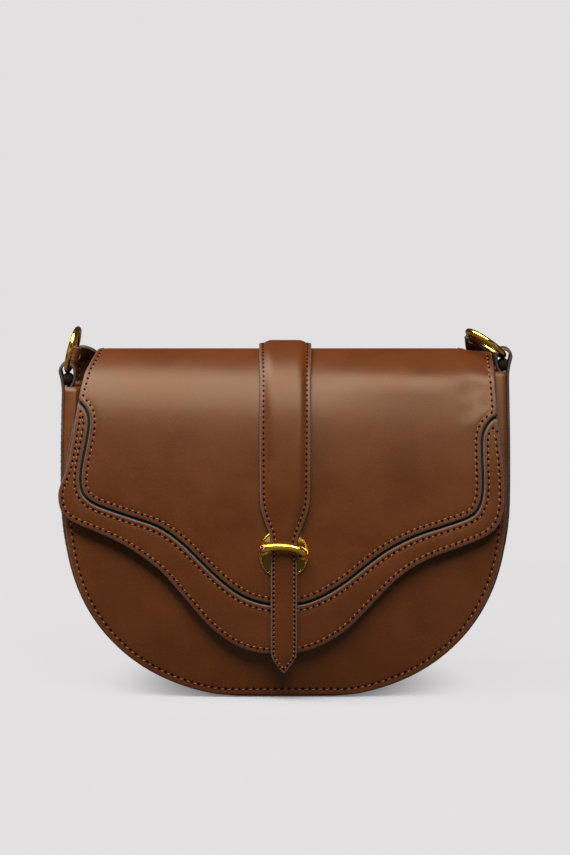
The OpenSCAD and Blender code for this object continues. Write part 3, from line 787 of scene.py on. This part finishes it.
# These pieces already lie along the bend over the bag's top edge, from the
# back panel to the flap's face. Here their places are baked into their meshes.
for piece in (flap_base, flap_panel, flap_border, panel_stitches, border_stitches):
    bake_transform(piece)

# ---- Closure strap
# A backing and a face of calf sewn together round a thin pad, from a pointed
# tail on the back, over the fold, down to a neck. The pad swells the strap
# between its two seams and runs out above the neck.
STRAP_LOW = 1.4
STRAP_T = 1.5
PAD_SWELL = 1.6
STRAP_SEAM = 2.6
STRAP_PITCH = 2.95
NECK = 82.5

strap_left = [(-13.8, 165), (-13.8, 140), (-13.7, 120), (-13.6, 106), (-13.2, 100),
              (-11.9, 94.6), (-9.8, 89.1), (-8.2, 84.8), (-7.75, 81.5), (-7.7, 78.7)]
strap_right = [(6.1, 78.7), (6.3, 81.5), (7.2, 85.0), (9.2, 90.0), (11.2, 95.4), (12.5, 100.5),
               (13.0, 106), (13.2, 120), (13.5, 140), (13.6, 165)]
tail = anchor_end - 20
tail_left = [(-0.2, tail - 9), (-14.2, tail + 5), (-14.3, 0), (-14.2, 20)]
tail_right = [(14.0, 20), (13.9, 0), (13.8, tail + 5)]
strap_outline = np.array(tail_left + facing_down(spline(strap_left, 4))
                         + facing_down(spline(strap_right, 4)) + tail_right)
backing_outline = np.array(tail_left + facing_down(spline(strap_left[:-4], 4))
                           + facing_down([(-8.0, 89.6), (7.6, 89.6)])
                           + facing_down(spline(strap_right[5:], 4)) + tail_right)


def pad_swell(x, s, d):
    """The pad's height at a distance d from the edge, thinner at both ends."""
    thick = np.interp(s, [tail, -20, 0, down(110), down(86), down(60)],
                      [0.3, 0.9, 1.0, 0.9, 0.35, 0.2])
    return PAD_SWELL * thick * ramp((d - 1.2) / 5.2)


strap_face = cut_leather("closure_strap_leather", strap_outline, on_flap, STRAP_LOW, STRAP_T,
                         CALF, relief=pad_swell, dip=0.22, cell=1.8, gap=1.3, seam=STRAP_SEAM)
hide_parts("closure_strap", "closure_strap_fold", "closure_strap_tail",
            "closure_strap_padding")
strap_backing = cut_leather("closure_strap_backing_leather", backing_outline, on_flap, 0.05,
                            STRAP_LOW - 0.05, BACKING)
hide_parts("closure_strap_backing")
row = open_row(strap_outline, STRAP_SEAM, lambda row: row[:, 1] >= down(NECK))
strap_stitches = stitch("closure_strap_stitches", [row], on_flap, STRAP_LOW + STRAP_T - 0.18,
                        STRAP_PITCH, Thread_length=1.5 * MM, Hole_length=1.6 * MM)
for piece in (strap_face, strap_backing, strap_stitches):
    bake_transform(piece)

# ---- Tongue
# The strap's narrow end goes under the bar and hangs past the flap's edge in
# a blunt point. It is two layers sewn together, and bends below the bar.
TONGUE_SEAM = 1.75
TONGUE_PITCH = 2.4
TONGUE_IN = 0.7
BAR_FOOT = 76.2

tongue_outline = np.array(facing_down(
    [(-7.7, 78.4), (-7.75, 60), (-7.75, 40), (-7.7, 26), (-7.3, 22.6), (-5.9, 20.2),
     (-1.6, 14.7), (-0.7, 14.2), (0.2, 14.9), (4.3, 20.4), (5.7, 22.8), (6.1, 26), (6.15, 40),
     (6.15, 60), (6.1, 78.4)]))
tongue = cut_leather("tongue_leather", tongue_outline, on_flap, STRAP_LOW + TONGUE_IN,
                     STRAP_T - TONGUE_IN, CALF, relief=pad_swell, dip=0.2, cell=1.6, gap=1.0,
                     seam=TONGUE_SEAM)
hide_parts("tongue")
tongue_back = cut_leather("tongue_backing_leather", tongue_outline, on_flap, STRAP_LOW - 0.25,
                          0.93, BACKING, gap=1.0)
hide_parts("tongue_backing")
row = open_row(tongue_outline, TONGUE_SEAM, lambda row: row[:, 1] <= down(BAR_FOOT))
tongue_stitches = stitch("tongue_stitches", [row], on_flap, STRAP_LOW + STRAP_T - SUNK_FINE,
                         TONGUE_PITCH, Thread_length=1.2 * MM, Hole_length=1.2 * MM)
for piece in (tongue, tongue_back, tongue_stitches):
    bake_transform(piece)

# ---- Brass keeper
# A thin turned plate with a narrow raised rim lies under the strap. A bent
# wire bar stands on it on two legs, riveted through the flap. Both are
# polished brass, plated a warm yellow gold.
PLATE_R = 13.25
PLATE_AT = (-0.9, 75.7)
BAR_WIRE = 2.0
# The bar's middle line, as (x, z, height above the flap).
BAR_LINE = ((-11.1, 77.2, 0.9), (-11.4, 77.2, 2.8), (-11.2, 77.7, 4.9), (-9.1, 78.4, 6.0),
            (-4.5, 78.8, 6.3), (-0.5, 78.7, 6.3), (3.5, 78.3, 6.3), (7.3, 77.3, 6.0),
            (9.4, 75.9, 4.9), (9.4, 75.1, 2.8), (8.9, 74.9, 0.9))
# The plate's half section from its edge inward: how far in, and how high.
RIM_LINE = ((0.2, 0), (0, 0.15), (0, 0.6), (0.08, 0.85), (0.25, 1.03), (0.45, 1.1),
            (0.65, 1.03), (0.82, 0.85), (0.9, 0.6), (1.2, 0.52), (PLATE_R - 0.4, 0.5))


# Plated brass: a clear yellow mirror with a faint wiped haze, in patches of
# 7 mm. The plate is a little duller in colour and sharper than bar and rings.
def polished_brass(name, tint, rough):
    made, tree = new_material(name)
    haze = own_noise(tree, 6.67, 3.0)
    surface(tree, Base_Color=linear(tint), Metallic=1.0,
            Roughness=remap(tree, haze, (0.3, 0.7), (rough * 0.85, rough * 1.2)),
            Normal=bumps(tree, haze, 0.02, 0.3))
    return made


gold_brass = polished_brass("gold plated polished brass", "#efbb4e", 0.15)
mirror_brass = polished_brass("gold plated mirror brass", "#e3b04a", 0.09)


def round_mesh(name, rings, material, segments, closed=False):
    """Rings of (centre, one axis, other axis, radius), joined to a skin."""
    turns = [2 * math.pi * k / segments for k in range(segments)]
    verts = [centre + r * (math.cos(a) * u + math.sin(a) * v)
             for centre, u, v, r in rings for a in turns]
    faces = ring_faces(len(rings), segments, closed)
    return finish_mesh(name, verts, faces, [0] * len(faces), [material])


def turned(name, profile, at, axis, material, segments):
    """A turned piece: (radius, height) rings round an axis."""
    axis = Vector(axis).normalized()
    side = axis.orthogonal().normalized()
    rings = [(Vector(at) + h * axis, side, axis.cross(side), r) for r, h in profile]
    return round_mesh(name, rings, material, segments)


def tube(name, points, radius, material, closed=False, domed=True):
    """A round wire through the points, with domed ends if it is open."""
    p = [Vector(q) for q in points]
    radii = list(radius) if np.ndim(radius) else [radius] * len(p)
    before, after = ([p[-1]] + p, p + [p[0]]) if closed else ([p[0]] + p, p + [p[-1]])
    tangents = [(b - a).normalized() for a, b in zip(before, after[1:])]
    side = tangents[0].orthogonal().normalized()
    rings = []
    for at, along, r in zip(p, tangents, radii):
        side = (side - side.dot(along) * along).normalized()
        rings.append((at, side.copy(), along.cross(side), r))
    if not closed and domed:
        for a in np.radians((30, 55, 75, 86)):
            back, thin = radii[0] * math.sin(a), radii[0] * math.cos(a)
            rings.insert(0, (p[0] - back * tangents[0], *rings[0][1:3], thin))
            rings.append((p[-1] + back * tangents[-1], *rings[-1][1:3], thin))
    return round_mesh(name, rings, material, 24, closed)


plate_at, plate_top = (np.array(on_flap(PLATE_AT[0], down(PLATE_AT[1]), h))
                       for h in (0.1, 1.1))
plate = turned("keeper_plate_turned", [(PLATE_R - d, h) for d, h in RIM_LINE], plate_at,
               plate_top - plate_at, mirror_brass, 96)
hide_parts("keeper_plate")
bar = tube("keeper_bar_wire", spline([on_flap(x, down(z), h) for x, z, h in BAR_LINE], 6),
           BAR_WIRE, gold_brass)
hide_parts("keeper_bar")
for piece in (plate, bar):
    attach(piece, "flap")

# ---- Side strips and ring loops
# A pointed strip is sewn up each side of the gusset. Its narrow upper end
# folds over in a loop that holds the ring, and comes down again inside the
# bag. A roll below the ring fills the loop. It is nearly black, as painted
# shade for the inside of the loop.
RING_X = 117.5
RING_Y = 20.0
RING_RISE = 7.5
LOOP_R = 3.2
TAB_T = 1.5
TAB_SEAM = 2.2
STRIP_LOW = 50.0
ROLL_R = 3.1
ROLL_BELOW = 4.8
# Which side, its name, and the height of the gusset's top edge there.
SIDES = ((-1, "left", TOP_LEFT), (1, "right", TOP_RIGHT))
# Half the strip's width, and the place along it, from its point upward and
# then from the gusset's top edge.
STRIP_POINT = ((0.0, 0), (4.5, 3.2), (8.2, 8), (9.8, 14), (10, 22))
STRIP_NECK = ((10, -34), (9.0, -24), (6.9, -14), (5.7, -6), (5.5, 0))


def gusset_swell(y, z):
    y0, y1 = front_y(z) + SKIN_T, back_y(z) - SKIN_T
    return swell_at(z, y0, y1, share((y - y0) / (y1 - y0)))


def loop_strip(side, top):
    """place(u, s, height) for the strip, and s at the gusset's top edge."""
    skin = body_path(BODY_HALF, 0, top, top)
    skin = skin[(side * skin[:, 0] > 0) & (skin[:, 1] >= STRIP_LOW - 14)]
    skin = skin[np.argsort(skin[:, 1])]
    skin[:, 0] = abs(skin[:, 0])
    rows = [(x, z, RING_Y * z / top, 1.0) for x, z in even(skin, 1.5) if z < top - 5]
    pivot = top + RING_RISE
    face_x, inner_x = BODY_HALF + gusset_swell(RING_Y, top - 4), RING_X - 0.3
    turn = [(face_x, top - 2), (face_x + 0.5, top + 2.5)]
    turn += [(RING_X + LOOP_R * math.cos(a), pivot + LOOP_R * math.sin(a))
             for a in np.radians(np.arange(0, 181, 30))]
    turn += [(RING_X - LOOP_R + 0.3, top + 2.5), (RING_X - 1.4, top - 0.5), (inner_x, top - 4),
             (inner_x, top - 12), (inner_x, top - 22)]
    rows += [(x, z, RING_Y, 0.0) for x, z in spline(turn, 6)]
    rows = np.array(rows)
    out = unit(np.stack([np.gradient(rows[:, 1]), -np.gradient(rows[:, 0])], axis=1))
    run = lengths(rows[:, :2])

    def place(u, s, h):
        (x, z, y, follow), (ox, oz) = at_run(s, run, rows), at_run(s, run, out)
        h += 0.04 + (follow * gusset_swell(y + u, z) if follow > 0 else 0)
        return (side * (x + h * ox), y + u, z + h * oz)

    at_low = float(np.interp(STRIP_LOW, rows[:60, 1], run[:60]))
    at_top = float(run[np.argmax(rows[:, 3] < 0.5)])
    return place, at_low, at_top, run[-1]


for side, name, top in SIDES:
    place, at_low, at_top, at_end = loop_strip(side, top)
    half = [(w, at_low + s) for w, s in STRIP_POINT]
    half += [(w, at_top + s) for w, s in STRIP_NECK] + [(5.5, at_end)]
    curve = spline(half, 6)
    curve = curve[curve[:, 1] <= at_end]
    strip_outline = np.vstack([curve, (curve * [-1, 1])[:0:-1]])
    strip = cut_leather(f"side_strip_{name}_leather", strip_outline, place, 0, TAB_T, CALF,
                        cell=2.0, gap=1.2, seam=TAB_SEAM)
    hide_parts(f"side_strip_{name}")
    row = open_row(strip_outline, TAB_SEAM, lambda row: row[:, 1] >= at_top + 3)
    stitches = stitch(f"side_strip_{name}_stitches", [row], place, TAB_T - SUNK_FINE)
    # The roll is painted shade: a near-black piece where the loop's inside lies in shadow.
    roll_x, roll_z = side * (RING_X + 0.1), top + RING_RISE - ROLL_BELOW
    roll_line = [(roll_x, RING_Y + y, roll_z) for y in (-5, 0, 5)]
    roll = tube(f"loop_shade_filler_{name}_leather", roll_line, ROLL_R, shade_black_calf, domed=False)
    for piece in (strip, stitches, roll):
        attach(piece, "bag")

# ---- Rings and strap ends
# Each ring is round brass wire, bent and butted at one joint. The shoulder
# strap's end folds round the back of it and is held by a domed rivet.
RING_R = 11.5
WIRE_R = 1.5
WIRE_JOINT = 0.28
LEAF_T = 1.3
FOLD_R = 2.35
CARRY_X = 108.0
END_AT = (43.35, 168.6)
RIVET_IN = 5.0
RIVET_LINE = ((2.5, 0), (2.5, 0.25), (2.3, 0.55), (1.8, 0.8), (1.0, 0.97), (0.3, 1.02))
# How far the ring leans inward and is turned, and how far round it the strap
# end has slid, in degrees. Then where its joint is, in radians.
RING_SET = {"left": (14, -5, -22, -2.2), "right": (55, 12, 30, 2.6)}

for side, name, top in SIDES:
    lean, yaw, slid = np.radians(RING_SET[name][:3])
    joint = RING_SET[name][3]
    pivot = np.array([side * RING_X, RING_Y, top + RING_RISE])
    rise = np.array([-side * math.sin(lean), 0, math.cos(lean)])
    flat = np.array([math.cos(lean), 0, side * math.sin(lean)])
    back = math.cos(yaw) * np.array([0, 1.0, 0]) - math.sin(yaw) * flat
    middle = pivot + RING_R * rise
    angles = np.sort(np.r_[np.linspace(joint, joint + 2 * math.pi, 121)[:-1],
                           joint + np.array([0.018, 0.035]), joint + 2 * math.pi - 0.018])
    radii = [WIRE_R - (WIRE_JOINT if abs((q - joint) % (2 * math.pi)) < 0.01 else 0)
             for q in angles]
    wire = [middle + RING_R * (math.cos(q) * back + math.sin(q) * rise) for q in angles]
    ring = tube(f"ring_{name}_wire", wire, radii, gold_brass, closed=True)
    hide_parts(f"ring_{name}")

    # The strap end's middle line runs from the wire to the shoulder strap and
    # turns its width from the wire's direction to the strap's.
    outward_at = math.cos(slid) * back + math.sin(slid) * rise
    wire_along = math.cos(slid) * rise - math.sin(slid) * back
    eye = middle + (RING_R - 0.7) * outward_at
    end = np.array([side * CARRY_X, *END_AT])
    b1, b2 = eye + 6 * outward_at, end + [0, -2.2, 7]
    ts = np.linspace(0, 1, 40)[:, None]
    core = ((1 - ts) ** 3 * eye + 3 * (1 - ts) ** 2 * ts * b1 + 3 * (1 - ts) * ts ** 2 * b2
            + ts ** 3 * end)
    core_run = lengths(core)
    length = core_run[-1]
    ease = np.array([ramp(t) for t in core_run / length])[:, None]
    core_t = unit(np.gradient(core, axis=0))
    core_w = (1 - ease) * wire_along + ease * np.array([-side, 0, 0])
    core_w = unit(core_w - np.sum(core_w * core_t, axis=1)[:, None] * core_t)
    core_n = np.cross(core_w, core_t)
    # The leather lies along one side of that line, folds round the wire and
    # comes back along the other: (distance along the line, distance from it).
    leaf = [(length, 0.67), (length * 0.6, 0.67), (6.0, 0.7), (3.9, 1.0)]
    leaf += [(FOLD_R * math.cos(q), FOLD_R * math.sin(q))
             for q in np.radians(range(52, 181, 16))]
    leaf = spline(leaf + [(p, -n) for p, n in leaf[::-1]], 4)
    leaf_run = lengths(leaf)
    leaf_out = -unit(np.stack([-np.gradient(leaf[:, 1]), np.gradient(leaf[:, 0])], axis=1))

    def place(u, s, h):
        p, n = at_run(s, leaf_run, leaf) + h * at_run(s, leaf_run, leaf_out)
        at, w, m = (at_run(p, core_run, rows) for rows in (core, core_w, core_n))
        return tuple(at + min(p, 0) * core_t[0] + u * w + n * m)

    total = leaf_run[-1]
    curve = spline([(7, 0), (6.6, total * 0.2), (4.8, total * 0.34), (4.3, total * 0.5)], 4)
    curve = np.vstack([curve, (curve * [1, -1] + [0, total])[::-1]])
    end_outline = np.vstack([curve, (curve * [-1, 1])[::-1]])
    strap_end = cut_leather(f"strap_end_{name}_leather", end_outline, place, -LEAF_T / 2,
                            LEAF_T, CALF, cell=1.6, gap=1.0, seam=1.9, dip=0.12)
    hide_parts(f"strap_end_{name}")
    at_s = float(leaf_run[np.argmin(abs(leaf[:len(leaf) // 2, 0] - RIVET_IN))])
    at_s = at_s if side > 0 else total - at_s
    foot, tip = (np.array(place(0, at_s, LEAF_T / 2 + h)) for h in (-0.1, 0.9))
    cap = turned(f"strap_rivet_{name}_cap", RIVET_LINE, foot, tip - foot, gold_brass, 32)
    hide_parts(f"strap_rivet_{name}")
    for piece in (ring, strap_end, cap):
        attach(piece, f"{name}_ring")

# ---- Shoulder strap
# One long strap, two layers sewn together, hangs behind the bag in a loop.
# Each leg twists a quarter turn, so that the loop can bend at the bottom.
CARRY_Y = 46.5
CARRY_H = 170.0
CARRY_W = 14.0
CARRY_T = 2.8
CARRY_SEAM = 2.2
BEND_R = 84.24
BEND_H = 90.24
TWIST_TOP = 160.4

centres, wides = [], []
for z in np.arange(CARRY_H + 1.0, BEND_H, -3.0):
    turn = math.pi / 2 * share((TWIST_TOP - z) / (TWIST_TOP - BEND_H))
    centres.append((CARRY_X, CARRY_Y, z))
    wides.append((math.cos(turn), math.sin(turn), 0))
for a in np.radians(np.arange(0, 91, 3)):
    centres.append((CARRY_X - BEND_R * (1 - math.cos(a)), CARRY_Y,
                    BEND_H - BEND_R * math.sin(a)))
    wides.append((0, 1, 0))
carry, carry_w = (np.array(rows + [(-x, y, z) for x, y, z in reversed(rows)])
                  for rows in (centres, wides))
carry_run = lengths(carry)
carry_n = np.cross(carry_w, unit(np.gradient(carry, axis=0)))


def on_carry(u, s, h):
    at, w, n = (at_run(s, carry_run, rows) for rows in (carry, carry_w, carry_n))
    return tuple(at + u * w + h * n)


half, total = CARRY_W / 2, carry_run[-1]
shoulder = cut_leather("shoulder_strap_leather",
                       [(-half, 0), (half, 0), (half, total), (-half, total)], on_carry,
                       -CARRY_T / 2, CARRY_T, [bag_calf, edge_paint, bag_calf], cell=3.6,
                       gap=2.0, seam=CARRY_SEAM)
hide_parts("shoulder_strap")
rows = [[(u, 3), (u, total - 3)] for u in (-half + CARRY_SEAM, half - CARRY_SEAM)]
face_row = stitch("shoulder_strap_stitches", rows, on_carry, CARRY_T / 2 - SUNK_FINE)
back_row = stitch("shoulder_strap_back_stitches", rows,
                  lambda u, s, h: on_carry(u, s, -h), CARRY_T / 2 - 0.02)
for piece in (shoulder, face_row, back_row):
    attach(piece, "carry_strap")

# ---- Lining, boards and clasp magnets
# The bag is lined in brown cotton twill, with a slack slip pocket on the
# back. Stiff boards lie behind the lining. A magnet holds the flap shut.
LINING_T = 1.2
INNER = SKIN_T + GUSSET_T
LINING_IN = -INNER - 1.6
LINING_HALF = BODY_HALF - 2.9
LINING_DOWN = 3
TWILL_RIB = 0.9
POCKET_SLACK = 5.6

# Twill: matt diagonal ribs 0.9 mm apart, flecked in two browns.
lining_twill, tree = new_material("brown cotton twill lining")
spot = add_node(tree, "ShaderNodeTexCoord").outputs["Object"]
rib = add_node(tree, "ShaderNodeTexWave",
               {"Vector": spot, "Scale": 2 * math.pi / (20 * TWILL_RIB * MM),
                "Distortion": 0.6, "Detail": 1.0}, bands_direction="DIAGONAL").outputs["Fac"]
fleck = noise(tree, spot, 1.11, 3.0)
surface(tree, Base_Color=mix_colour(tree, fleck, linear("#4b2f1c"), linear("#6b4a30")),
        Roughness=0.9, Specular_IOR_Level=0.2, Normal=bumps(tree, rib, 0.5, 0.2))


def faced(name, colour, rough, metal, size):
    """One colour whose shine varies in patches of a size in mm."""
    made, tree = new_material(name)
    vary = remap(tree, own_noise(tree, size, 4.0), (0, 1), (rough * 0.8, rough * 1.2))
    surface(tree, Base_Color=linear(colour), Metallic=metal, Roughness=vary)
    return made


# Pressed grey board, dry and matt. Nickel plate, a cool mirror that handling
# has dulled.
paperboard = faced("grey paperboard stiffener", "#8d8478", 0.85, 0.0, 1.43)
nickel = faced("nickel plated magnet clasp", "#b9b6b0", 0.24, 1.0, 2.0)


def dress(material, *nodes):
    for node in nodes:
        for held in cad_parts[node].material_slots:
            held.material = material


dress(paperboard, "front_board", "back_board")
dress(nickel, "magnet_socket", "magnet_socket_rivet", "magnet_stud")
dress(gold_brass, "keeper_rivets")

TWILL = [lining_twill] * 3
lining_top = FRONT_TOP - LINING_DOWN
front_lining = cut_leather("front_lining_twill",
                           body_path(LINING_HALF, PANEL_TAPER, lining_top, lining_top, 3.0),
                           on_front, LINING_IN, LINING_T, TWILL, dip=0)
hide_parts("front_lining")
back_lining = cut_leather("back_lining_twill", body_path(LINING_HALF, 0, 157, 157, 3.0),
                          on_back, LINING_IN, LINING_T, TWILL, dip=0)
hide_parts("back_lining")


def lining_section(z):
    y0, y1 = front_y(z) + INNER, back_y(z) - INNER
    outer = [(GUSSET_T - gusset_swell(y, z), y) for y in np.linspace(y0, y1, 15)]
    return outer + [(d + LINING_T, y) for d, y in outer[::-1]]


lining_path = body_path(BODY_HALF, 0, TOP_LEFT - LINING_DOWN, TOP_RIGHT - LINING_DOWN)
gusset_lining = swept_strip("gusset_lining_twill", even(lining_path, 3.0), lining_section,
                            TWILL)
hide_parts("gusset_lining")


def on_pocket(x, z, h):
    """The pocket's mouth hangs open, most in its middle."""
    slack = max(0.0, 1 - (x / 60) ** 2) * share((z - 52) / 74) ** 1.3
    return on_back(x, z, -INNER - LINING_T - 0.5 - h - POCKET_SLACK * slack)


pocket_outline = [(-60, 130), (-60, 60), (-57.7, 54.3), (-52, 52), (52, 52), (57.7, 54.3),
                  (60, 60), (60, 130), (20, 129.2), (-20, 129.2)]
pocket = cut_leather("slip_pocket_twill", pocket_outline, on_pocket, 0, LINING_T, TWILL,
                     seam=4.0, dip=0.25)
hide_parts("slip_pocket")
pocket_row = stitch("slip_pocket_stitches", [ring_row(pocket_outline, 2.4)], on_pocket,
                    LINING_T - 0.1, 3.0)
for piece in (front_lining, back_lining, gusset_lining, pocket, pocket_row):
    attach(piece, "bag")
